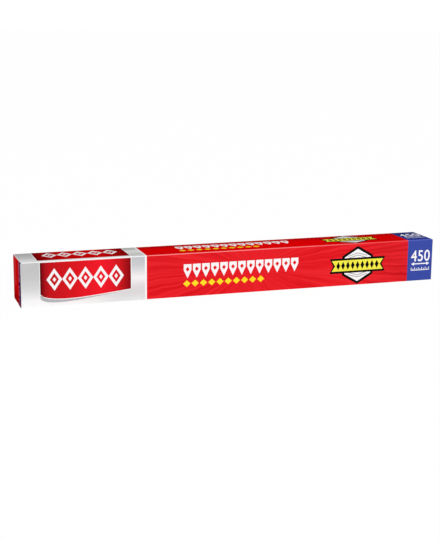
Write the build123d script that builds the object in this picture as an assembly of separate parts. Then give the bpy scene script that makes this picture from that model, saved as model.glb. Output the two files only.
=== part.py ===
from build123d import *
import os
from math import cos, degrees, pi, radians, sin, sqrt

# Boxed roll of household foil. A long carton of folded board is the dispenser: its tray
# holds the foil on a card core, and its lid, front flap and end flaps swing up together
# about the crease at the top of the back wall. A serrated steel strip inside the flap
# tears the foil. +X runs along the carton, the front faces -Y, +Z is up, and the origin
# is the middle of the underside.

# Foil and core
foil_width = 450.0
foil_length = 7620.0
foil_gauge = 0.018
foil_packing = 0.92       # share of the wound section that is metal
core_bore = 32.0
core_wall = 1.5
core_overhang = 0.5       # past each edge of the foil
foil_fit = 0.05           # radial, between the core and the first turn
lip_angle = 125.0         # where the free end leaves the roll, from +Y towards +Z
lip_length = 9.0
lip_radius = 42.0         # of the free end's own curl
lip_thickness = 0.15      # of the loose outer turn, with the air under it

# Cutter strip
cutter_overhang = 0.5     # past each edge of the foil
cutter_width = 9.0
cutter_thickness = 0.25
tooth_pitch = 2.5
tooth_height = 1.6
tooth_setback = 0.3       # of the points above the flap's lower edge

# Carton
board = 0.5               # thickness of the board
fold_radius = 0.9         # outside radius of each fold
front_wall_height = 34.0  # of the tray, behind the lid's front flap
glue_tab_width = 15.0     # of the flap's end tabs, glued over the lid's end flaps
dust_flap_length = 18.0   # of the flaps inside the tray's ends
flap_corner_radius = 3.0  # at the lower back corner of the lid's end flaps
wall_corner_cut = 8.0     # along the top of the tray's end walls, at the front
fold_relief = 0.6         # cut away where two folds meet at a corner
flap_lift = 0.3           # from the table to the front flap's lower edge
crease_flat = 0.5         # of the lid's back, between its fold and the crease

# Clearances
seat_clearance = 0.1      # under the roll, where it lies on the tray
roll_side_play = 3.25     # between the roll and the tray's front and back walls
roll_headroom = 7.9       # between the roll and the lid
core_end_play = 3.7       # from each end of the core to the tray's dust flaps
flap_clearance = 0.35     # between the cutter strip and the tray's front wall
end_clearance = 0.3       # between the lid's end flaps and the tray's end walls
crease_gap = 0.15         # between the back wall's top edge and the lid's

# The roll, then the carton made round it
core_radius = core_bore / 2 + core_wall
core_length = foil_width + 2 * core_overhang
foil_bore = core_radius + foil_fit
foil_radius = sqrt(foil_bore**2 + foil_length * foil_gauge / foil_packing / pi)
roll_z = board + seat_clearance + foil_radius
tray_depth = 2 * (board + roll_side_play + foil_radius)
carton_depth = board + cutter_thickness + flap_clearance + tray_depth
carton_height = roll_z + foil_radius + roll_headroom + board
back = carton_depth / 2
front = -back
tray_front = back - tray_depth
roll_y = back - tray_depth / 2
crease = carton_height - fold_radius - crease_flat
back_wall_top = crease - crease_gap

# Faces at the ends, from the dust flaps out to the glue tabs
dust_flap_face = core_length / 2 + core_end_play + board
tray_end = dust_flap_face + board
lid_end = tray_end + end_clearance + board
carton_end = lid_end + board
tray_flat_end = dust_flap_face - fold_radius   # the end folds begin here,
lid_flat_end = lid_end - fold_radius
tray_fold_start = tray_flat_end - fold_radius  # and overlap the walls from here
lid_fold_start = lid_flat_end - fold_radius
fold_mid_radius = fold_radius - board / 2


def folded(plane, line, low, high):
    """Board folded along its centre line, drawn in plane, from low to high across it."""
    strip = trace(FilletPolyline(*line, radius=fold_mid_radius), board)
    return extrude(plane.offset(low) * strip, high - low)


def both_ends(shape):
    return shape + mirror(shape, Plane.YZ)


def carton_tray():
    front_mid = tray_front + board / 2
    back_mid = back - board / 2
    walls = [
        (front_mid, front_wall_height),
        (front_mid, board / 2),
        (back_mid, board / 2),
        (back_mid, back_wall_top),
    ]
    tray = folded(Plane.YZ, walls, -tray_flat_end, tray_flat_end)

    # each end wall is the bottom's end flap, turned up outside two dust flaps
    end_mid = tray_end - board / 2
    end_line = [(tray_fold_start, board / 2), (end_mid, board / 2), (end_mid, back_wall_top)]
    end_wall = folded(Plane.XZ, end_line, -(back - fold_radius), -(tray_front + fold_radius))
    cut_line = [
        (tray_front, front_wall_height),
        (tray_front + fold_radius + wall_corner_cut, back_wall_top),
        (tray_front, back_wall_top),
    ]
    corner = Plane.YZ * make_face(Polyline(*cut_line, close=True))
    end_wall -= extrude(corner, carton_end)

    dust_mid = dust_flap_face - board / 2
    front_line = [
        (tray_fold_start, front_mid),
        (dust_mid, front_mid),
        (dust_mid, tray_front + dust_flap_length),
    ]
    back_line = [
        (tray_fold_start, back_mid),
        (dust_mid, back_mid),
        (dust_mid, back - dust_flap_length),
    ]
    dust_bottom = board + fold_relief
    front_dust = folded(Plane.XY, front_line, dust_bottom, front_wall_height)
    back_dust = folded(Plane.XY, back_line, dust_bottom, back_wall_top - fold_relief)
    return tray + both_ends(end_wall + front_dust + back_dust)


def carton_lid():
    top_mid = carton_height - board / 2
    back_mid = back - board / 2
    flap_mid = front + board / 2
    back_to_flap = [
        (back_mid, crease),
        (back_mid, top_mid),
        (flap_mid, top_mid),
        (flap_mid, flap_lift),
    ]
    lid = folded(Plane.YZ, back_to_flap, -lid_flat_end, lid_flat_end)

    # the top's end flaps hang inside the glue tabs that the front flap turns round them
    end_mid = lid_end - board / 2
    end_line = [(lid_fold_start, top_mid), (end_mid, top_mid), (end_mid, flap_lift)]
    end_flap = folded(Plane.XZ, end_line, -(back - fold_radius), -(front + fold_radius))
    low_back = end_flap.edges().filter_by(Axis.X).group_by(Axis.Z)[0].sort_by(Axis.Y)[-1]
    end_flap = fillet(low_back, flap_corner_radius)

    tab_mid = carton_end - board / 2
    tab_line = [(lid_fold_start, flap_mid), (tab_mid, flap_mid), (tab_mid, front + glue_tab_width)]
    tab = folded(Plane.XY, tab_line, flap_lift, carton_height - fold_radius)
    return lid + both_ends(end_flap + tab)


def cutter_strip():
    tips = flap_lift + tooth_setback
    roots = tips + tooth_height
    end = foil_width / 2 + cutter_overhang
    teeth = int(2 * end / tooth_pitch)
    start = -teeth * tooth_pitch / 2
    outline = [(end, roots), (end, tips + cutter_width), (-end, tips + cutter_width), (-end, roots)]
    for tooth in range(teeth):
        x = start + tooth * tooth_pitch
        outline += [(x, roots), (x + tooth_pitch / 2, tips)]
    outline.append((start + teeth * tooth_pitch, roots))
    strip = make_face(Polyline(*outline, close=True))
    flap_face = front + board
    return extrude(Plane.XZ.offset(-flap_face) * strip, -cutter_thickness)


def roll_point(radius, angle):
    return Vector(radius * cos(radians(angle)), radius * sin(radians(angle)))


def outer_turn():
    """Quarter arcs, each tangent to the last, that gain one loose thickness in all."""
    step = lip_thickness / 4
    centre = Vector(0, 0)
    radius = foil_radius - lip_thickness
    arcs = [CenterArc(centre, radius, lip_angle, 90)]
    for angle in (lip_angle + 90, lip_angle + 180, lip_angle + 270):
        centre -= roll_point(step, angle)
        radius += step
        arcs.append(CenterArc(centre, radius, angle, 90))
    return arcs


def foil_roll():
    # the outer turn leaves the roll as a lip with a wider curl of its own
    lip_centre = roll_point(foil_radius - lip_radius, lip_angle)
    sweep = degrees(lip_length / lip_radius)
    outside = CenterArc(lip_centre, lip_radius, lip_angle, sweep)
    inside = CenterArc(lip_centre, lip_radius - lip_thickness, lip_angle, sweep)
    lip_edge = Line(outside @ 1, inside @ 1)
    section = make_face(outer_turn() + [outside, lip_edge, inside]) - Circle(foil_bore)
    wound = extrude(Plane.YZ * section, foil_width / 2, both=True)
    return Pos(0, roll_y, roll_z) * wound


def core_tube():
    ring = Circle(core_radius) - Circle(core_bore / 2)
    tube = extrude(Plane.YZ * ring, core_length / 2, both=True)
    return Pos(0, roll_y, roll_z) * tube


os.makedirs("parts", exist_ok=True)
for piece in (carton_tray, carton_lid, cutter_strip, foil_roll, core_tube):
    export_step(piece(), f"parts/{piece.__name__}.step")
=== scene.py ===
import math

import bmesh
import bpy
from mathutils import Matrix, Vector, noise


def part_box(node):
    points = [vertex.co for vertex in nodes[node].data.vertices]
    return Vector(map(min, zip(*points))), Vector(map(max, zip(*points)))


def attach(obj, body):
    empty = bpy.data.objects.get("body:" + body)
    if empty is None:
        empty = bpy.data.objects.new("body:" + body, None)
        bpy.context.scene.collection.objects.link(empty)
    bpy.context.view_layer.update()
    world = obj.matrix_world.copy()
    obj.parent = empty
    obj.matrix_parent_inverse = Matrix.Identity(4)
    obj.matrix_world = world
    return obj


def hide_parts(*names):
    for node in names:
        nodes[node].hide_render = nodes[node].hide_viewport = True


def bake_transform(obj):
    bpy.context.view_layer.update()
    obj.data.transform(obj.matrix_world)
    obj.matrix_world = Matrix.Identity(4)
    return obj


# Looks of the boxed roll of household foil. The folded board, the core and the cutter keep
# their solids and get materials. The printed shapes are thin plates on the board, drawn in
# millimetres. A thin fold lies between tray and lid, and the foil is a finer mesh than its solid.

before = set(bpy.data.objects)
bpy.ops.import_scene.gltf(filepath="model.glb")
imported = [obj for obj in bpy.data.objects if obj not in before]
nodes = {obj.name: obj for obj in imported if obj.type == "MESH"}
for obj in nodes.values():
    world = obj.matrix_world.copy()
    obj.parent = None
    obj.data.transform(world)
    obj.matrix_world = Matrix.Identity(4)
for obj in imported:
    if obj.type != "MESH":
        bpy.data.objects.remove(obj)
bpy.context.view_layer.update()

MM = 0.001
BOARD = 0.5 * MM          # thickness of the carton's board
FOLD = 0.9 * MM           # outside radius of its folds
INK = 0.04 * MM           # thickness of one layer of printed shapes

lid_low, lid_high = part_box("carton_lid")
tray_low, tray_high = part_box("carton_tray")
foil_low, foil_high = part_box("foil_roll")
core_low, core_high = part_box("core_tube")
FRONT, BACK, TOP, END = lid_low.y, lid_high.y, lid_high.z, lid_high.x

# Fields of the print along the carton, mm from its middle
SILVER_END = -102.5
RED_START = -100.5
BLUE_START = 200.55
PANEL = (-211.5, -117.5)  # the red panel on the front, from its left side to its right
TOP_PANEL = (-212.8, -117.2)
SOFT_EDGE = 0.12          # to each side of a border, over which one field turns into the next
SILVER_TURN = 20          # from the panel's left side to where the silver starts to change


def srgb(red, green, blue):
    """A colour as it looks on a screen, 0 to 255, as the linear colour that shaders take."""
    linear = []
    for level in (red, green, blue):
        share = level / 255
        linear.append(share / 12.92 if share < 0.04045 else ((share + 0.055) / 1.055) ** 2.4)
    return (*linear, 1)


# Camera

# It stands to the left of the carton's front and a little above, and leans by its roll.
CAMERA_PLACE = (-0.40851, -1.16569, 0.29023)
AZIMUTH = -18.7565        # degrees, from straight in front
ELEVATION = 12.3255
ROLL = 0.5159
LENS = 77.891             # mm, on a sensor whose 36 mm span the frame's long side


def make_camera():
    data = bpy.data.cameras.new("camera")
    data.lens = LENS
    data.clip_end = 100
    camera = bpy.data.objects.new("camera", data)
    bpy.context.scene.collection.objects.link(camera)
    round_object = Matrix.Rotation(math.radians(AZIMUTH), 4, "Z")
    level = Matrix.Rotation(math.radians(90 - ELEVATION), 4, "X")
    lean = Matrix.Rotation(math.radians(ROLL), 4, "Z")
    camera.matrix_world = Matrix.Translation(CAMERA_PLACE) @ round_object @ level @ lean
    bpy.context.scene.camera = camera


# Material nodes

NOISE_RANGE = (0.3, 0.7)  # what a noise mostly keeps between


class Shader:
    """A new material and short calls for the nodes that these materials use."""

    def __init__(self, name):
        self.material = bpy.data.materials.new(name)
        self.material.use_nodes = True
        self.tree = self.material.node_tree
        self.surface = self.tree.nodes["Principled BSDF"]
        self.coordinates = self.node("ShaderNodeTexCoord")
        self.place = self.coordinates.outputs["Object"]

    def node(self, kind, **settings):
        made = self.tree.nodes.new(kind)
        for name, value in settings.items():
            setattr(made, name, value)
        return made

    def put(self, socket, value):
        if isinstance(value, bpy.types.NodeSocket):
            self.tree.links.new(value, socket)
        else:
            socket.default_value = value

    def set(self, **values):
        """Fill inputs of the surface, each given by its name with _ for a space."""
        for name, value in values.items():
            self.put(self.surface.inputs[name.replace("_", " ")], value)

    def math(self, operation, *values):
        made = self.node("ShaderNodeMath", operation=operation)
        for socket, value in zip(made.inputs, values):
            self.put(socket, value)
        return made.outputs[0]

    def minus(self, a, b):
        return self.math("SUBTRACT", a, b)

    def over(self, value, limit):
        """1 where the value is greater than the limit, and 0 elsewhere."""
        return self.math("GREATER_THAN", value, limit)

    def under(self, value, limit):
        return self.math("LESS_THAN", value, limit)

    def chain(self, operation, value, *others):
        """The first value, with one operation done with each of the others in turn."""
        for other in others:
            value = self.math(operation, value, other)
        return value

    def product(self, *values):
        return self.chain("MULTIPLY", *values)

    def least(self, *values):
        return self.chain("MINIMUM", *values)

    def most(self, *values):
        return self.chain("MAXIMUM", *values)

    def axes(self, vector):
        made = self.node("ShaderNodeSeparateXYZ")
        self.put(made.inputs[0], vector)
        return made.outputs

    def vector(self, x, y, z):
        made = self.node("ShaderNodeCombineXYZ")
        for socket, value in zip(made.inputs, (x, y, z)):
            self.put(socket, value)
        return made.outputs[0]

    def ramp(self, value, start, end, low=0.0, high=1.0, smooth=True):
        """low before start, high after end, and in between a smooth or straight change."""
        kind = "SMOOTHSTEP" if smooth else "LINEAR"
        made = self.node("ShaderNodeMapRange", interpolation_type=kind)
        for socket, given in zip(made.inputs, (value, start, end, low, high)):
            self.put(socket, given)
        return made.outputs[0]

    def stops(self, value, stops):
        """A colour for each value, read between the stops."""
        made = self.node("ShaderNodeValToRGB")
        self.put(made.inputs[0], value)
        elements = made.color_ramp.elements
        while len(elements) < len(stops):
            elements.new(0.5)
        for element, (position, colour) in zip(elements, stops):
            element.position = position
            element.color = colour
        return made.outputs[0]

    def mix(self, share, a, b):
        """Colour a where share is 0 and colour b where it is 1."""
        made = self.node("ShaderNodeMix", data_type="RGBA")
        # the sockets for colours come after those for numbers and vectors
        for index, value in ((0, share), (6, a), (7, b)):
            self.put(made.inputs[index], value)
        return made.outputs[2]

    def noise(self, scale, detail=2.0, stretch=(1, 1, 1), vector=None):
        mapped = self.node("ShaderNodeMapping")
        self.put(mapped.inputs["Vector"], self.place if vector is None else vector)
        mapped.inputs["Scale"].default_value = stretch
        made = self.node("ShaderNodeTexNoise")
        made.inputs["Scale"].default_value = scale
        made.inputs["Detail"].default_value = detail
        self.put(made.inputs["Vector"], mapped.outputs[0])
        return made.outputs[0]

    def wander(self, scale, low, high):
        """A value that drifts between low and high over the surface."""
        return self.ramp(self.noise(scale), *NOISE_RANGE, low, high)

    def bump(self, height, distance):
        made = self.node("ShaderNodeBump")
        made.inputs["Strength"].default_value = 1
        made.inputs["Distance"].default_value = distance
        self.put(made.inputs["Height"], height)
        self.put(self.surface.inputs["Normal"], made.outputs[0])


# Colours

WHITE = srgb(250, 249, 250)
BLUE = srgb(60, 77, 162)
# painted shade: the blue on the top is darker than on the front, most at the back
BLUE_TOP_FRONT = srgb(52, 66, 156)
BLUE_TOP_BACK_SHADE = srgb(40, 54, 114)
# painted shade over the back part of the top
RED_TOP_BACK_SHADE = srgb(198, 8, 12)
RED_END = srgb(239, 10, 13)
RED_END_LOW = srgb(206, 8, 10)
RED_END_MARK = srgb(236, 128, 130)
NAVY = srgb(66, 20, 86)
NAVY_MARK = srgb(232, 130, 154)
PRINT_SHADE = srgb(60, 0, 0)             # mixed faintly into all the print
SILVER_FOLD_HIGHLIGHT = srgb(254, 254, 254)        # painted highlight along the folds, in each field's colour
# the painted highlight on the red is stronger at its left than at its right
RED_FOLD_HIGHLIGHT_LEFT = srgb(255, 140, 143)
RED_FOLD_HIGHLIGHT_RIGHT = srgb(242, 84, 88)
BLUE_FOLD_HIGHLIGHT = srgb(90, 105, 192)
SILVER_CREASE = srgb(196, 197, 199)      # print on the fold that is the hinge
RED_CREASE = srgb(214, 16, 20)
BLUE_CREASE = srgb(58, 72, 152)
SILVER_LEFT = (           # silver print with painted sheen up the wall at the left of the panel, brightest near the bottom
    (0.0, srgb(252, 252, 252)),
    (0.15, srgb(248, 248, 248)),
    (0.42, srgb(217, 218, 219)),
    (0.62, srgb(205, 206, 207)),
    (0.82, srgb(199, 200, 201)),
)
SILVER_RIGHT = (          # and at its right, with a band of painted highlight a little above half height
    (0.06, srgb(229, 230, 230)),
    (0.16, srgb(221, 221, 222)),
    (0.3, srgb(223, 222, 223)),
    (0.52, srgb(247, 246, 248)),
    (0.8, srgb(203, 206, 209)),
    (1.0, srgb(196, 199, 202)),
)
SILVER_TOP_LEFT = (       # silver print with painted sheen across the top from the front, at the left of its panel, darker toward the back
    (0.0, srgb(240, 240, 241)),
    (0.2, srgb(236, 236, 237)),
    (0.4, srgb(214, 214, 214)),
    (0.85, srgb(190, 190, 191)),
)
SILVER_TOP_RIGHT = (      # and at its right, also with painted sheen
    (0.0, srgb(226, 226, 227)),
    (0.24, srgb(213, 213, 213)),
    (0.47, srgb(232, 232, 231)),
    (0.59, srgb(239, 239, 237)),
    (0.82, srgb(192, 192, 190)),
)
PANEL_REDS = (            # from the panel's left side to its right
    (0.0, srgb(84, 4, 8)),
    (0.05, srgb(170, 20, 28)),
    (0.1, srgb(196, 24, 32)),
    (0.35, srgb(218, 25, 33)),
    (0.66, srgb(244, 28, 43)),
    (0.78, srgb(232, 27, 41)),
    (0.88, srgb(204, 25, 31)),
    (1.0, srgb(130, 12, 18)),
)
WALL_REDS = (             # of the rays on the walls, from dark to light
    (0.0, srgb(216, 22, 30)),
    (0.5, srgb(230, 33, 41)),
    (1.0, srgb(236, 43, 50)),
)
FAR_REDS = (              # the same near the red's right end
    (0.0, srgb(196, 20, 28)),
    (0.5, srgb(217, 32, 40)),
    (1.0, srgb(234, 42, 50)),
)
TOP_REDS = (              # along the top from the red's left end to its right
    (0.0, srgb(231, 4, 6)),
    (0.6, srgb(240, 2, 6)),
    (1.0, srgb(225, 5, 8)),
)
TOP_PANEL_REDS = (
    (0.0, srgb(116, 3, 8)),
    (0.06, srgb(148, 5, 11)),
    (0.3, srgb(206, 5, 9)),
    (0.7, srgb(216, 5, 9)),
    (0.93, srgb(156, 6, 11)),
    (1.0, srgb(134, 5, 10)),
)
GREY_BOARD = srgb(186, 181, 172)
GREY_FLECK = srgb(142, 136, 127)
GREY_CLOUD = srgb(205, 202, 196)
RAW_EDGE = srgb(222, 217, 207)
FOIL = srgb(214, 216, 219)
FOIL_LINE = srgb(203, 205, 209)
CARD = srgb(186, 152, 112)
CARD_FIBRE = srgb(158, 124, 86)
CARD_SEAM = srgb(112, 84, 56)
STEEL = srgb(196, 198, 201)
STEEL_LINE = srgb(166, 168, 172)


# The board and its print

PRINT_SHINE = 0                       # specular level; the print's sheen is painted into its colours instead
OUTSIDE = 0.38 * MM                   # board nearer than this to the outer planes is printed
PAST_WALL = 5 * MM                    # clear of a wall, its fold and the board behind it
HIGH = 30 * MM                        # above this, only the tray's cut edges face up
BURST_X, BURST_Z = 18 * MM, 27 * MM   # where the rays on the walls start
BURST_STRETCH = 2                     # of their fan along the carton
RAYS_PER_RADIAN = 22
RAY_WAVER = 4 * MM                    # from a ray's lowest stray to its highest
BURST_SIDE = 9                        # of the noise, from its middle to where each side reads
BURST_CHANGE = 6                      # of the noise, for each metre along a ray
FAR_START, FAR_END = 130, 185         # mm, over which the walls' red turns to its far shades
STRIP = 10 * MM                       # width of the navy strip on each end
STRIP_MARGIN = 2 * MM                 # of the strip's front, without marks
STRIP_PITCH = 1.6 * MM                # of its columns of marks
BLOCK_PITCH = 2.3 * MM                # of the rows of marks near the back of each end
END_FOLD_HIGHLIGHT = 0.8                        # of the painted highlight on the folds round the ends, as a share of the front one's


def sunburst(s, x, z):
    """Faint rays that fan out from near the middle of a wall and waver a little, 0 to 1."""
    across = s.minus(x, BURST_X)
    away = s.math("ABSOLUTE", across)
    waver = s.minus(s.noise(55, 1.0, (1, 0, 1)), 0.5)
    rise = s.math("MULTIPLY_ADD", waver, RAY_WAVER, s.minus(z, BURST_Z))
    angle = s.math("ARCTAN2", rise, s.math("DIVIDE", away, BURST_STRETCH))
    turn = s.product(angle, RAYS_PER_RADIAN)
    # each side, and each length along a ray, reads the noise in a place of its own
    side = s.product(s.math("SIGN", across), BURST_SIDE)
    rays = s.vector(turn, side, s.product(away, BURST_CHANGE))
    return s.ramp(s.noise(1, vector=rays), *NOISE_RANGE)


def band(s, x, start):
    """0 before start along the carton, in mm, and 1 after it."""
    return s.ramp(x, (start - SOFT_EDGE) * MM, (start + SOFT_EDGE) * MM)


def fields(s, x, silver, red, blue):
    """Silver, a white line, red and blue, from the left end of the carton to the right."""
    colour = s.mix(band(s, x, SILVER_END), silver, WHITE)
    colour = s.mix(band(s, x, RED_START), colour, red)
    return s.mix(band(s, x, BLUE_START), colour, blue)


def silver_print_with_sheen(s, x, share, left, right):
    """Silver print whose painted sheen changes over the panel from its shades at the left to those
    at the right.
    """
    rightward = s.ramp(x, (PANEL[0] + SILVER_TURN) * MM, PANEL[1] * MM)
    return s.mix(rightward, s.stops(share, left), s.stops(share, right))


def wall_print_with_painted_sheen(s, x, z):
    height = s.math("DIVIDE", z, TOP)
    # silver print with painted sheen
    silver = silver_print_with_sheen(s, x, height, SILVER_LEFT, SILVER_RIGHT)
    rays = sunburst(s, x, z)
    far = s.ramp(x, FAR_START * MM, FAR_END * MM)
    red = s.mix(far, s.stops(rays, WALL_REDS), s.stops(rays, FAR_REDS))
    return fields(s, x, silver, red, BLUE)


def top_print_with_painted_light(s, x, y):
    depth = s.ramp(y, FRONT, BACK, smooth=False)
    # silver print with painted sheen, lighter near the front of the top
    silver = silver_print_with_sheen(s, x, depth, SILVER_TOP_LEFT, SILVER_TOP_RIGHT)
    along = s.ramp(x, RED_START * MM, BLUE_START * MM, smooth=False)
    # painted shade: the red darkens over the back part of the top
    back_shade = s.ramp(depth, 0.6, 0.85)
    red = s.mix(back_shade, s.stops(along, TOP_REDS), RED_TOP_BACK_SHADE)
    # painted shade: the blue darkens from the top's front to its back
    blue = s.mix(depth, BLUE_TOP_FRONT, BLUE_TOP_BACK_SHADE)
    return fields(s, x, silver, red, blue)


def grey_board(s):
    """The unprinted side of the board: grey with darker flecks and faint paler clouds."""
    fleck = s.ramp(s.noise(1400, 3.0), 0.56, 0.68)
    grey = s.mix(s.product(fleck, 0.45), GREY_BOARD, GREY_FLECK)
    return s.mix(s.product(s.noise(60), 0.12), grey, GREY_CLOUD)


def rows_of_marks(s, distance, pitch, stretch):
    """Short marks in rows that are a pitch apart, 1 on a mark and 0 beside it."""
    row = s.over(s.math("FRACT", s.math("DIVIDE", distance, pitch)), 0.5)
    return s.product(row, s.over(s.noise(420, 1.0, stretch), 0.46))


def end_print(s, z, from_front, from_back):
    """Red with a navy strip down its front, and rows of pale marks there and near the back."""
    red = s.mix(s.ramp(z, 4 * MM, 17 * MM), RED_END_LOW, RED_END)
    # the block of marks ends softly towards the front, the back and below
    forward = s.ramp(from_back, 16 * MM, 19 * MM, 0.4, 0.0)
    backward = s.ramp(from_back, 3 * MM, 4 * MM)
    downward = s.ramp(z, 15 * MM, 18 * MM)
    rows = rows_of_marks(s, z, BLOCK_PITCH, (1, 1, 0))
    red = s.mix(s.product(forward, backward, downward, rows), red, RED_END_MARK)
    columns = rows_of_marks(s, from_front, STRIP_PITCH, (1, 0, 1))
    columns = s.product(columns, s.over(from_front, STRIP_MARGIN))
    strip = s.under(from_front, STRIP)
    return s.mix(strip, red, s.mix(columns, NAVY, NAVY_MARK))


def painted_fold_highlights(s, colour, x, normal):
    """The print with painted highlights: paler on the top's front fold and a little less so on those
    round the ends.
    """
    normal_x, normal_y, normal_z = normal
    front_fold = s.product(normal_y, normal_z, -2)
    upright_fold = s.math("ABSOLUTE", s.product(normal_x, normal_y))
    end_fold = s.math("ABSOLUTE", s.product(normal_x, normal_z))
    folds = s.most(front_fold, s.product(s.most(upright_fold, end_fold), 2 * END_FOLD_HIGHLIGHT))
    # painted highlight, stronger on the red's left part than on its right
    red = s.mix(s.ramp(x, 0, BLUE_START * MM), RED_FOLD_HIGHLIGHT_LEFT, RED_FOLD_HIGHLIGHT_RIGHT)
    highlight = fields(s, x, SILVER_FOLD_HIGHLIGHT, red, BLUE_FOLD_HIGHLIGHT)
    return s.mix(s.ramp(folds, 0.05, 0.6), colour, highlight)


def board_finish(s, printed, print_colour, raw):
    """Print outside, flecked grey board inside and a paler raw edge where it is cut."""
    printed = s.product(printed, s.minus(1, raw))
    inside = s.mix(raw, grey_board(s), RAW_EDGE)
    outside = s.mix(s.wander(35, 0.0, 0.03), print_colour, PRINT_SHADE)
    s.set(Base_Color=s.mix(printed, inside, outside))
    s.set(Roughness=s.ramp(printed, 0, 1, 0.9, s.wander(90, 0.36, 0.44), smooth=False))
    s.set(Specular_IOR_Level=PRINT_SHINE)
    s.bump(s.math("MULTIPLY_ADD", s.noise(160), 3, s.noise(2600)), 0.012 * MM)
    return s.material


def lid_board():
    s = Shader("lid_board")
    x, y, z = s.axes(s.place)
    normal = s.axes(s.coordinates.outputs["Normal"])
    _, normal_y, normal_z = normal
    from_front = s.minus(y, FRONT)
    from_back = s.minus(BACK, y)
    from_top = s.minus(TOP, z)
    from_end = s.minus(END, s.math("ABSOLUTE", x))
    from_flap = s.minus(from_end, BOARD)    # the end flaps lie inside the glue tabs
    printed = s.under(s.least(from_front, from_back, from_top, from_flap), OUTSIDE)

    up = s.ramp(normal_z, 0.45, 0.85)
    colour = s.mix(up, wall_print_with_painted_sheen(s, x, z), top_print_with_painted_light(s, x, y))
    # painted highlights along the folds
    colour = painted_fold_highlights(s, colour, x, normal)
    on_flap = s.under(from_flap, s.least(from_front, from_top))
    on_tab = s.under(from_end, BOARD / 4)
    ends = end_print(s, z, from_front, from_back)
    colour = s.mix(s.most(on_flap, on_tab), colour, ends)

    # the cut edges: those that face down, and the glue tabs' and end flaps' that face back
    below = s.product(s.under(normal_z, -0.5), s.over(from_top, FOLD))
    beyond = s.product(s.over(from_front, PAST_WALL), s.over(from_back, BOARD))
    behind = s.product(s.over(normal_y, 0.5), beyond)
    return board_finish(s, printed, colour, s.most(below, behind))


def tray_board():
    s = Shader("tray_board")
    x, y, z = s.axes(s.place)
    _, normal_y, normal_z = s.axes(s.coordinates.outputs["Normal"])
    from_front = s.minus(y, tray_low.y)
    from_back = s.minus(BACK, y)
    from_end = s.minus(tray_high.x, s.math("ABSOLUTE", x))
    from_long_side = s.least(from_front, from_back, z)
    printed = s.under(s.least(from_long_side, from_end), OUTSIDE)
    faces_end = s.under(from_end, from_long_side)
    colour = s.mix(faces_end, wall_print_with_painted_sheen(s, x, z), RED_END)

    # the cut edges: those on top, and the dust flaps' that face the middle of the tray
    on_top = s.product(s.over(normal_z, 0.5), s.over(z, HIGH))
    between = s.product(s.over(from_front, PAST_WALL), s.over(from_back, PAST_WALL))
    on_flaps = s.product(s.over(s.math("ABSOLUTE", normal_y), 0.5), between)
    return board_finish(s, printed, colour, s.most(on_top, on_flaps))


def crease_board():
    """Print on the fold that joins the tray to the lid. It goes by x alone."""
    s = Shader("crease_board")
    x = s.axes(s.place)[0]
    colour = fields(s, x, SILVER_CREASE, RED_CREASE, BLUE_CREASE)
    wear = s.ramp(s.noise(900, 3.0), 0.52, 0.74, 0.0, 0.25)
    s.set(Base_Color=s.mix(wear, colour, RAW_EDGE))
    s.set(Roughness=s.wander(120, 0.4, 0.5), Specular_IOR_Level=PRINT_SHINE)
    s.bump(s.noise(2200), 0.015 * MM)
    return s.material


def crease_lining():
    """The grey side of the same fold."""
    s = Shader("crease_lining")
    s.set(Base_Color=grey_board(s), Roughness=0.9, Specular_IOR_Level=PRINT_SHINE)
    s.bump(s.noise(2200), 0.015 * MM)
    return s.material


def inked(s, colour, tint, amount):
    """A printed colour with the slight mottle of ink on board."""
    mottle = s.ramp(s.noise(320, 3.0), 0.35, 0.7, 0.0, amount)
    s.set(Base_Color=s.mix(mottle, colour, tint))
    s.set(Roughness=s.wander(90, 0.34, 0.44), Specular_IOR_Level=PRINT_SHINE)
    s.bump(s.noise(2400), 0.01 * MM)
    return s.material


def ink(name, colour, tint, amount=0.35):
    return inked(Shader(name), colour, tint, amount)


def panel_ink(name, sides, stops):
    """Red that is brightest right of the panel's middle and dark at its two ends."""
    s = Shader(name)
    x = s.axes(s.place)[0]
    share = s.ramp(x, sides[0] * MM, sides[1] * MM, smooth=False)
    darkest = stops[0][1]
    return inked(s, s.stops(share, stops), darkest, 0.05)


def foil_metal():
    """Bright foil: fine rolling lines round the roll, soft ripples and a few dull smears."""
    s = Shader("foil_metal")
    lines = s.noise(5200, stretch=(1, 0.02, 0.02))
    wide_lines = s.noise(700, stretch=(1, 0.03, 0.03))
    smear = s.noise(45, 3.0, (0.6, 1, 1))
    ripples = s.noise(75, 4.0, (0.7, 1.6, 1.6))
    s.set(Base_Color=s.mix(s.ramp(wide_lines, 0.35, 0.7), FOIL, FOIL_LINE))
    s.set(Metallic=1, Roughness=s.ramp(smear, 0.35, 0.75, 0.2, 0.34))
    s.bump(s.math("MULTIPLY_ADD", ripples, 60, s.math("ADD", lines, wide_lines)), 0.006 * MM)
    return s.material


def core_card():
    """Spirally wound kraft card, with the edge of its outer ply as a fine dark line."""
    s = Shader("core_card")
    x, y, z = s.axes(s.place)
    middle = (core_low + core_high) / 2
    angle = s.math("ARCTAN2", s.minus(z, middle.z), s.minus(y, middle.y))
    turns_per_metre = 13
    seam_share = 0.012
    turn = s.math("MULTIPLY_ADD", x, turns_per_metre, s.math("DIVIDE", angle, math.tau))
    seam = s.over(s.math("FRACT", turn), 1 - seam_share)
    fibre = s.noise(1100, 4.0, (0.35, 1, 1))
    card = s.mix(s.ramp(fibre, 0.35, 0.7), CARD, CARD_FIBRE)
    s.set(Base_Color=s.mix(seam, card, CARD_SEAM))
    s.set(Roughness=s.ramp(fibre, *NOISE_RANGE, 0.8, 0.92), Specular_IOR_Level=0.2)
    s.bump(s.minus(fibre, s.product(seam, 2)), 0.03 * MM)
    return s.material


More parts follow.
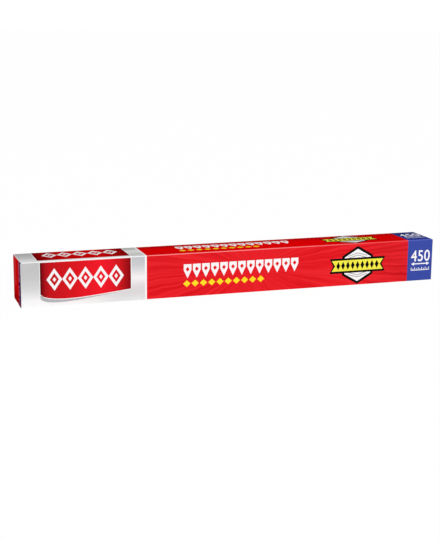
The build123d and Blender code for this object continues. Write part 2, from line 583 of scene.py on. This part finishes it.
def cutter_steel():
    """Steel strip with fine lines along it."""
    s = Shader("cutter_steel")
    brushed = s.noise(2200, 3.0, (0.02, 1, 1))
    s.set(Base_Color=s.mix(s.ramp(brushed, *NOISE_RANGE), STEEL, STEEL_LINE))
    s.set(Metallic=1, Roughness=s.ramp(brushed, *NOISE_RANGE, 0.26, 0.42))
    s.bump(brushed, 0.01 * MM)
    return s.material


def dress(name, material):
    """Give the whole of a CAD node one material."""
    slots = nodes[name].material_slots
    if not slots:
        nodes[name].data.materials.append(material)
    for slot in slots:
        slot.material = material


# Flat shapes, as closed outlines in mm

def hexagon(x, y, radius):
    """A regular hexagon with a corner at its top."""
    turns = [math.tau * i / 6 + math.pi / 2 for i in range(6)]
    return [(x + radius * math.cos(a), y + radius * math.sin(a)) for a in turns]


def diamond(x, y, half_width, half_height):
    return [(x - half_width, y), (x, y - half_height), (x + half_width, y), (x, y + half_height)]


def pennant(x, half_width, low, middle, high):
    """A flag that hangs from a straight top and comes to a point below."""
    return [
        (x + half_width, high), (x - half_width, high), (x - half_width, middle),
        (x, low), (x + half_width, middle),
    ]


def ruler(left, right, low, line, high, divisions):
    """A thin line with upright ticks on it, long and short in turn."""
    tick = 0.3 * (right - left) / divisions
    outline = [(left, low), (right, low)]
    for i in range(divisions, -1, -1):
        start = left + (right - left - tick) * i / divisions
        end = start + tick
        top = high if i % 2 == 0 else line + 0.6 * (high - line)
        outline += [(end, line), (end, top), (start, top), (start, line)]
    return outline


def bowed_edge(left, right, side_low, lowest):
    """An edge that bows down from its two ends, most in its left half."""
    steps = 40
    lean = 0.55               # 1 would put the lowest point in the middle
    points = []
    for i in range(steps + 1):
        share = i / steps
        bow = math.sin(math.pi * share ** lean)
        points.append((left + (right - left) * share, side_low + (lowest - side_low) * bow))
    return points


def bowed_panel(left, right, side_low, lowest, high):
    return [(right, high), (left, high)] + bowed_edge(left, right, side_low, lowest)


def bowed_shade(left, right, side_low, lowest, depth):
    """The shade under a bowed edge, as deep as given at its left end and fading to its right."""
    fade = 1.4
    thinnest = 0.02
    upper = bowed_edge(left, right, side_low, lowest)
    lower = []
    for x, edge in upper:
        width = depth * ((right - x) / (right - left)) ** fade
        lower.append((x, edge - width - thinnest))
    return upper + lower[::-1]


def ribbon(x, y, grow=0.0):
    """A band with a swallow-tail cut in each end."""
    half_width, half_height, notch = 30.9 + grow, 6.0 + grow, 4.0
    right, left = x + half_width, x - half_width
    low, high = y - half_height, y + half_height
    return [
        (left, low), (right, low), (right - notch, y),
        (right, high), (left, high), (left + notch, y),
    ]


def chevron(x, y, half_width, rise, thick):
    return [
        (x - half_width, y), (x, y + rise), (x + half_width, y),
        (x + half_width, y - thick), (x, y + rise - thick), (x - half_width, y - thick),
    ]


def double_arrow(left, right, y, half_thick, head):
    """A line with a head at each end, as long as given and a little wider."""
    start, end = left + head, right - head
    half_head = 0.55 * head
    return [
        (left, y), (start, y + half_head), (start, y + half_thick),
        (end, y + half_thick), (end, y + half_head), (right, y),
        (end, y - half_head), (end, y - half_thick),
        (start, y - half_thick), (start, y - half_head),
    ]


# Plates of print

RIM = 0.75                # mm, of the white round a panel
TITLE_LEFT, TITLE_RIGHT = -61.4, 69.5     # the ends of the row of pennants, mm
BADGE = (139.2, 22.5)     # its middle, mm
TOP_SHIFT = -22.5         # mm, from a height up the front to the same shape's place on the top

# from a flat drawing to each printed face of the lid
FACES = {
    "front": Matrix(((1, 0, 0, 0), (0, 0, -1, FRONT), (0, 1, 0, 0), (0, 0, 0, 1))),
    "top": Matrix(((1, 0, 0, 0), (0, 1, 0, 0), (0, 0, 1, TOP), (0, 0, 0, 1))),
}


def flat_mesh(curve, name):
    """A curve's filled shape as a closed mesh, with the curve removed."""
    holder = bpy.data.objects.new(name, curve)
    bpy.context.scene.collection.objects.link(holder)
    bpy.context.view_layer.update()
    evaluated = holder.evaluated_get(bpy.context.evaluated_depsgraph_get())
    mesh = bpy.data.meshes.new_from_object(evaluated)
    bpy.data.objects.remove(holder)
    bpy.data.curves.remove(curve)
    mesh.name = name
    return mesh


def outline_curve(name, outlines):
    curve = bpy.data.curves.new(name, "CURVE")
    curve.dimensions = "2D"
    curve.fill_mode = "BOTH"
    for outline in outlines:
        spline = curve.splines.new("POLY")
        spline.points.add(len(outline) - 1)
        for point, (x, y) in zip(spline.points, outline):
            point.co = (x, y, 0, 1)
        spline.use_cyclic_u = True
    return curve


def add_piece(mesh, name, body, material):
    piece = bpy.data.objects.new(name, mesh)
    bpy.context.scene.collection.objects.link(piece)
    mesh.materials.append(material)
    if body:
        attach(piece, body)
    return piece


def plate(name, face, layer, curve, material, fit=Matrix.Identity(4)):
    """A shape drawn flat in mm, laid on a face of the lid. Layers lie on one another."""
    curve.extrude = 0.5       # to each side, so that a layer is 1 thick before it is scaled
    mesh = flat_mesh(curve, name)
    scale = Matrix.Diagonal((MM, MM, INK, 1))
    lift = Matrix.Translation((0, 0, (layer + 0.5) * INK))
    mesh.transform(FACES[face] @ lift @ scale @ fit)
    form = bmesh.new()
    form.from_mesh(mesh)
    bmesh.ops.remove_doubles(form, verts=form.verts, dist=1e-7)
    bmesh.ops.recalc_face_normals(form, faces=form.faces)
    form.to_mesh(mesh)
    form.free()
    add_piece(mesh, name, "lid", material)


def number_curve(text, left, right, low, high):
    """A plain number, and the matrix that makes it fill the given box."""
    curve = bpy.data.curves.new("number", "FONT")
    curve.body = text
    curve.size = 10
    curve.offset = 0.1        # which makes it bolder
    curve.space_character = 1.06
    holder = bpy.data.objects.new("number", curve)
    bpy.context.scene.collection.objects.link(holder)
    bpy.context.view_layer.update()
    corners = [Vector(corner) for corner in holder.bound_box]
    bpy.data.objects.remove(holder)
    first_x, last_x = min(c.x for c in corners), max(c.x for c in corners)
    first_y, last_y = min(c.y for c in corners), max(c.y for c in corners)
    to_start = Matrix.Translation((-first_x, -first_y, 0))
    stretch = ((right - left) / (last_x - first_x), (high - low) / (last_y - first_y), 1, 1)
    return curve, Matrix.Translation((left, low, 0)) @ Matrix.Diagonal(stretch) @ to_start


def middles(left, right, count):
    """The middles of so many equal lengths between left and right, and half of one."""
    half = (right - left) / count / 2
    return [left + (2 * i + 1) * half for i in range(count)], half


def panel_lattice():
    """A row of open diamonds, each with a small one in it."""
    y = 27.6
    outlines = []
    places, half = middles(-205.0, -125.0, count=5)
    for x in places:
        outlines += [
            diamond(x, y, half, half_height=11.6),
            diamond(x, y, half_width=4.7, half_height=6.8),
            diamond(x, y, half_width=1.8, half_height=2.6),
        ]
    return outlines


def pennants():
    """A row of pennants with a diamond cut in each."""
    gap = 1.6
    outlines = []
    places, half = middles(TITLE_LEFT, TITLE_RIGHT, count=13)
    for x in places:
        outlines += [
            pennant(x, half - gap / 2, low=20.0, middle=28.6, high=35.0),
            diamond(x, 29.6, half_width=2.2, half_height=2.6),
        ]
    return outlines


def small_diamonds():
    """A row that runs under most of the pennants."""
    start, pitch = TITLE_LEFT + 4.2, 9.2
    return [diamond(start + pitch * i, 14.2, half_width=4.0, half_height=3.6) for i in range(10)]


def badge_lines(x, y):
    """Two thin chevrons above the ribbon and two below it."""
    lines = [chevron(x, y + up, half_width=11.5, rise=3.4, thick=0.9) for up in (8.2, 10.6)]
    return lines + [[(a, 2 * y - b) for a, b in line] for line in lines]


def ribbon_marks(x, y):
    """A row of upright diamonds, as many to each side of the ribbon's middle."""
    pitch = 5.8
    return [diamond(x + pitch * i, y, half_width=2.3, half_height=4.6) for i in range(-4, 5)]


def print_artwork(face, shift, inks):
    """The printed shapes that the front and the top share, moved up the face by shift."""
    up = Matrix.Translation((0, shift, 0))

    def shape(name, layer, outlines, material):
        name = f"{face}_{name}"
        plate(name, face, layer, outline_curve(name, outlines), inks[material], up)

    shape("panel_lattice", 2, panel_lattice(), "white")
    shape("pennants", 1, pennants(), "white")
    shape("diamonds", 1, small_diamonds(), "yellow")

    x, y = BADGE
    shape("badge_rim", 1, [hexagon(x, y, radius=21.3)], "black")
    shape("badge_field", 2, [hexagon(x, y, radius=18.1)], "white")
    shape("badge_lines", 3, badge_lines(x, y), "grey")
    shape("ribbon_rim", 4, [ribbon(x, y, grow=2.3)], "black")
    shape("ribbon", 5, [ribbon(x, y)], "lemon")
    shape("ribbon_marks", 6, ribbon_marks(x, y), "black")

    # the width of the foil in millimetres, with an arrow and a ruler under it
    width = f"{(foil_high.x - foil_low.x) / MM:.0f}"
    curve, fit = number_curve(width, left=204.8, right=228.2, low=22.1, high=34.8)
    plate(f"{face}_number", face, 0, curve, inks["white"], up @ fit)
    left, right = 205.2, 227.8
    arrow = double_arrow(left, right, y=19.4, half_thick=0.6, head=3.6)
    shape("width_arrow", 0, [arrow], "white")
    marks = ruler(left, right, low=11.8, line=12.5, high=15.4, divisions=10)
    shape("width_ruler", 0, [marks], "white")


def print_panel(face, sides, inks, side_low, lowest, high, rim_low, rim_high):
    """A panel with a white rim at its sides, and one below and above that is as wide as given."""
    left, right = sides
    rim = bowed_panel(left - RIM, right + RIM, side_low - rim_low, lowest - rim_low, high + rim_high)
    plate(f"{face}_panel_rim", face, 0, outline_curve("rim", [rim]), inks["white"])
    panel = bowed_panel(left, right, side_low, lowest, high)
    plate(f"{face}_panel", face, 1, outline_curve("panel", [panel]), inks[f"{face}_panel"])


def print_lid():
    inks = {
        "white": ink("white_ink", WHITE, srgb(240, 242, 244)),
        "yellow": ink("yellow_ink", srgb(255, 229, 44), srgb(240, 205, 24)),
        "lemon": ink("lemon_ink", srgb(244, 240, 78), srgb(226, 214, 50)),
        "black": ink("black_ink", srgb(14, 13, 14), srgb(40, 38, 38), 0.3),
        "grey": ink("grey_ink", srgb(150, 152, 156), srgb(172, 174, 178), 0.4),
        "shade": ink("shade_ink", srgb(176, 178, 182), srgb(204, 206, 209), 0.4),
        "front_panel": panel_ink("front_panel_ink", PANEL, PANEL_REDS),
        "top_panel": panel_ink("top_panel_ink", TOP_PANEL, TOP_PANEL_REDS),
    }
    side_low, lowest = 13.0, 7.2
    print_panel("front", PANEL, inks, side_low, lowest, high=45.5, rim_low=RIM, rim_high=0.3)
    below = 0.8
    shade = [bowed_shade(*PANEL, side_low - below, lowest - below, depth=3.9)]
    plate("front_panel_shade", "front", 0, outline_curve("shade", shade), inks["shade"])
    low = -17.8               # the same at the sides and the middle, as its edge is straight
    print_panel("top", TOP_PANEL, inks, low, low, high=22.0, rim_low=4.4, rim_high=0.2)
    print_artwork("front", 0.0, inks)
    print_artwork("top", TOP_SHIFT, inks)


# Meshes made of rings

def bridge(form, a, b):
    """The faces between two rings that have as many points."""
    count = len(a)
    faces = []
    for i in range(count):
        j = (i + 1) % count
        faces.append(form.faces.new((a[i], a[j], b[j], b[i])))
    return faces


def smooth_mesh(form, name):
    """The mesh of a form, shaded smooth except where it turns by more than 40 degrees."""
    bmesh.ops.recalc_face_normals(form, faces=form.faces)
    mesh = bpy.data.meshes.new(name)
    form.to_mesh(mesh)
    form.free()
    mesh.shade_smooth()
    mesh.set_sharp_from_angle(angle=math.radians(40))
    return mesh


# The fold between tray and lid

CREASE_GAP = 0.15 * MM    # between the back walls of tray and lid
CREASE_REACH = 2.5 * MM   # down the back wall
CREASE_SKIN = 1.5 * INK   # how far it stands off the board
CREASE_MARGIN = 2 * MM    # from each end of the carton


def crease_fold():
    """Board that runs from the back wall over the crease to the lid."""
    bend_low, bend_high = tray_high.z - CREASE_GAP, tray_high.z + 2 * CREASE_GAP
    bends, lengths = 6, 60
    heights = [tray_high.z - CREASE_REACH]
    heights += [bend_low + (bend_high - bend_low) * i / bends for i in range(bends + 1)]
    heights.append(TOP - FOLD)
    outer = [(BACK + CREASE_SKIN, z) for z in heights]
    inner = [(BACK, z) for z in heights[::-1]]
    section = outer + inner
    half = END - CREASE_MARGIN
    form = bmesh.new()
    rings = []
    for i in range(lengths + 1):
        x = -half + 2 * half * i / lengths
        rings.append([form.verts.new((x, y, z)) for y, z in section])
    for a, b in zip(rings, rings[1:]):
        for face in bridge(form, a, b)[len(outer):]:
            face.material_index = 1   # the lining, which is added second
    last = len(section) - 1
    for ring in (rings[0], rings[-1]):
        for i in range(len(outer) - 1):
            form.faces.new((ring[i], ring[i + 1], ring[last - i - 1], ring[last - i]))
    mesh = smooth_mesh(form, "crease")
    piece = add_piece(mesh, "crease", None, crease_board())
    mesh.materials.append(crease_lining())
    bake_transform(piece)


# The wound foil

LIP_ANGLE = math.radians(125)
LIP_LENGTH = 9 * MM
LIP_RADIUS = 42 * MM
LIP_THICKNESS = 0.15 * MM
FOIL_FIT = 0.05 * MM      # between the core and the first turn
TURN_POINTS = 168         # round the roll
LIP_POINTS = 10           # along its free end
LENGTHS = 150             # along the roll
RIPPLE = 0.05 * MM        # how far the crinkles stand off
DENT = 0.035 * MM
RIPPLES = (22, 160)       # of the noise, for each metre along the roll and across it
DENTS = (95, 240)
CALM = 1 / 8              # share of the roll at each end where the crinkles die away


def foil_outline(radius):
    """The outer turn, and the outside and inside of its free end, round the roll's middle."""
    turn = []
    for i in range(TURN_POINTS):
        share = i / TURN_POINTS
        grown = radius - LIP_THICKNESS * (1 - share)
        angle = LIP_ANGLE + math.tau * share
        turn.append(Vector((grown * math.cos(angle), grown * math.sin(angle))))
    direction = Vector((math.cos(LIP_ANGLE), math.sin(LIP_ANGLE)))
    middle = direction * (radius - LIP_RADIUS)
    outside, inside = [], []
    for i in range(LIP_POINTS + 1):
        angle = LIP_ANGLE + LIP_LENGTH / LIP_RADIUS * i / LIP_POINTS
        ray = Vector((math.cos(angle), math.sin(angle)))
        outside.append(middle + ray * LIP_RADIUS)
        inside.append(middle + ray * (LIP_RADIUS - LIP_THICKNESS))
    return turn, outside, inside[1:][::-1]


def crinkle(x, point):
    """How far the foil stands off its true round here: ripples along the roll and small dents."""
    along, across = RIPPLES
    ripple = noise.noise(Vector((x * along, point.x * across, point.y * across)))
    along, across = DENTS
    apart = 7                 # in the noise, so that the dents don't follow the ripples
    dent = noise.noise(Vector((x * along + apart, point.x * across, point.y * across)))
    return RIPPLE * ripple + DENT * dent


def close_end(form, outer, bore):
    """The flat end of the roll, between its outer turn and its bore, and that of its free end."""
    last = TURN_POINTS - 1
    for i in range(last):
        form.faces.new((outer[i], outer[i + 1], bore[i + 1], bore[i]))
    form.faces.new((outer[last], outer[last + 1], outer[0], bore[0], bore[last]))
    lip_end = TURN_POINTS + LIP_POINTS + 1
    outside = outer[TURN_POINTS:lip_end]
    inside = [outer[0]] + outer[lip_end:][::-1]
    for i in range(LIP_POINTS):
        form.faces.new((outside[i], outside[i + 1], inside[i + 1], inside[i]))


def wound_foil():
    """The roll's outer turn, its free end and its bore, with the crinkles its solid leaves out."""
    middle_y = (core_low.y + core_high.y) / 2
    middle_z = (core_low.z + core_high.z) / 2
    turn, outside, inside = foil_outline(middle_z - foil_low.z)
    form = bmesh.new()
    rings = []
    for i in range(LENGTHS + 1):
        x = foil_low.x + (foil_high.x - foil_low.x) * i / LENGTHS
        from_end = min(i, LENGTHS - i) / LENGTHS
        ring = []
        for point in turn + outside + inside:
            out = point.normalized() * crinkle(x, point) * min(1, from_end / CALM)
            place = (x, middle_y + point.x + out.x, middle_z + point.y + out.y)
            ring.append(form.verts.new(place))
        rings.append(ring)
    for a, b in zip(rings, rings[1:]):
        bridge(form, a, b)

    bore_radius = (core_high.z - core_low.z) / 2 + FOIL_FIT
    bores = []
    for x in (foil_low.x, foil_high.x):
        ring = []
        for i in range(TURN_POINTS):
            angle = LIP_ANGLE + math.tau * i / TURN_POINTS
            across, up = bore_radius * math.cos(angle), bore_radius * math.sin(angle)
            ring.append(form.verts.new((x, middle_y + across, middle_z + up)))
        bores.append(ring)
    bridge(form, *bores)
    close_end(form, rings[0], bores[0])
    close_end(form, rings[-1], bores[1])
    mesh = smooth_mesh(form, "wound_foil")
    piece = add_piece(mesh, "wound_foil", "tray", foil_metal())
    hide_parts("foil_roll")


# Floor and light

FLOOR_REACH = 20          # m, from its middle to each side
FLOOR_PAINT = (0.92, 0.92, 0.92, 1)
FLOOR_GLOW = 0.985        # share of plain white in the floor, for rays that show it
SKY = 0.5                 # strength of the light from all round
KEY_PLACE = (0.7, -2.0, 1.35)
KEY_AIM = (0, 0, 0.02)
KEY_SIZE = (1.6, 1.2)     # m
KEY_POWER = 34            # watts


def shows_background(tree):
    """1 for the rays that show a background, straight or in a gloss or glass."""
    path = tree.nodes.new("ShaderNodeLightPath")
    seen = path.outputs["Is Camera Ray"]
    for name in ("Is Glossy Ray", "Is Transmission Ray"):
        more = tree.nodes.new("ShaderNodeMath")
        more.operation = "MAXIMUM"
        tree.links.new(seen, more.inputs[0])
        tree.links.new(path.outputs[name], more.inputs[1])
        seen = more.outputs[0]
    return seen


def blend_surfaces(tree, share, plain, shown, output):
    """Send plain to the output where share is 0, and shown where it is 1."""
    both = tree.nodes.new("ShaderNodeMixShader")
    tree.links.new(share, both.inputs[0])
    tree.links.new(plain.outputs[0], both.inputs[1])
    tree.links.new(shown.outputs[0], both.inputs[2])
    tree.links.new(both.outputs[0], tree.nodes[output].inputs["Surface"])


def make_floor():
    far = FLOOR_REACH
    mesh = bpy.data.meshes.new("floor")
    corners = [(-far, -far, 0), (far, -far, 0), (far, far, 0), (-far, far, 0)]
    mesh.from_pydata(corners, [], [(0, 1, 2, 3)])
    floor = bpy.data.objects.new("floor", mesh)
    bpy.context.scene.collection.objects.link(floor)
    material = bpy.data.materials.new("floor")
    material.use_nodes = True
    tree = material.node_tree
    paint = tree.nodes["Principled BSDF"]
    paint.inputs["Base Color"].default_value = FLOOR_PAINT
    paint.inputs["Roughness"].default_value = 1
    paint.inputs["Specular IOR Level"].default_value = 0
    glow = tree.nodes.new("ShaderNodeEmission")
    glow.inputs["Strength"].default_value = 1
    share = tree.nodes.new("ShaderNodeMath")
    share.operation = "MULTIPLY"
    share.inputs[1].default_value = FLOOR_GLOW
    tree.links.new(shows_background(tree), share.inputs[0])
    blend_surfaces(tree, share.outputs[0], paint, glow, "Material Output")
    mesh.materials.append(material)


def make_world():
    world = bpy.data.worlds.new("studio")
    bpy.context.scene.world = world
    world.use_nodes = True
    tree = world.node_tree
    dim = tree.nodes["Background"]
    dim.inputs["Color"].default_value = (1, 1, 1, 1)
    dim.inputs["Strength"].default_value = SKY
    white = tree.nodes.new("ShaderNodeBackground")
    white.inputs["Color"].default_value = (1, 1, 1, 1)
    white.inputs["Strength"].default_value = 1
    blend_surfaces(tree, shows_background(tree), dim, white, "World Output")


def make_lamp():
    data = bpy.data.lights.new("key", "AREA")
    data.shape = "RECTANGLE"
    data.size, data.size_y = KEY_SIZE
    data.energy = KEY_POWER
    lamp = bpy.data.objects.new("key", data)
    bpy.context.scene.collection.objects.link(lamp)
    lamp.location = KEY_PLACE
    direction = Vector(KEY_AIM) - Vector(KEY_PLACE)
    lamp.rotation_euler = direction.to_track_quat("-Z", "Y").to_euler()


dress("carton_lid", lid_board())
dress("carton_tray", tray_board())
dress("core_tube", core_card())
dress("cutter_strip", cutter_steel())

make_camera()
print_lid()
crease_fold()
wound_foil()
make_floor()
make_world()
make_lamp()

bpy.context.scene.view_settings.view_transform = "Standard"
